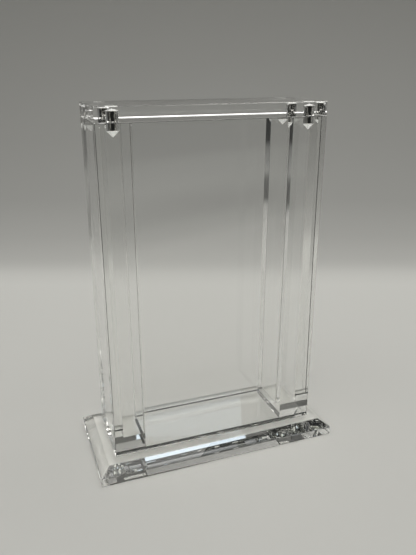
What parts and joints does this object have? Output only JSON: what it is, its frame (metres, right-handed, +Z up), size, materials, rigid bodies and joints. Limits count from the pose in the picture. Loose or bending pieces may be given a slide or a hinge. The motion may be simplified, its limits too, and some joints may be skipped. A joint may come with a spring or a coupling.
{
  "type": "album stand",
  "caption": "Upright clear acrylic stand that holds a photo album in an open-topped case on a bevelled base, with a loose lid held by small round magnets.",
  "frame": {"origin": "middle of the base plate's underside, where the stand rests", "axes": "+Z up; +X along the long side of the stand, towards its right side; +Y towards the back"},
  "size_m": [0.19, 0.085, 0.265],
  "materials": {
    "clear_acrylic": "cast clear acrylic, flame and buff polished",
    "magnet_nickel": "bright nickel plating"
  },
  "bodies": {
    "case": {"base_plate": "clear_acrylic", "front_panel": "clear_acrylic", "back_panel": "clear_acrylic", "left_side_panel": "clear_acrylic", "right_side_panel": "clear_acrylic", "left_foot_block": "clear_acrylic", "right_foot_block": "clear_acrylic", "corner_post_front_left": "clear_acrylic", "corner_post_front_right": "clear_acrylic", "corner_post_back_left": "clear_acrylic", "corner_post_back_right": "clear_acrylic", "post_magnet_front_left": "magnet_nickel", "post_magnet_front_right": "magnet_nickel", "post_magnet_back_left": "magnet_nickel", "post_magnet_back_right": "magnet_nickel"},
    "lid": {"lid_plate": "clear_acrylic", "lid_magnet_front_left": "magnet_nickel", "lid_magnet_front_right": "magnet_nickel", "lid_magnet_back_left": "magnet_nickel", "lid_magnet_back_right": "magnet_nickel"}
  },
  "joints": [
    {"name": "lid_lift", "type": "slide", "parent": "case", "child": "lid", "axis": [0, 0, 1], "range_m": [0, 0.15]}
  ]
}
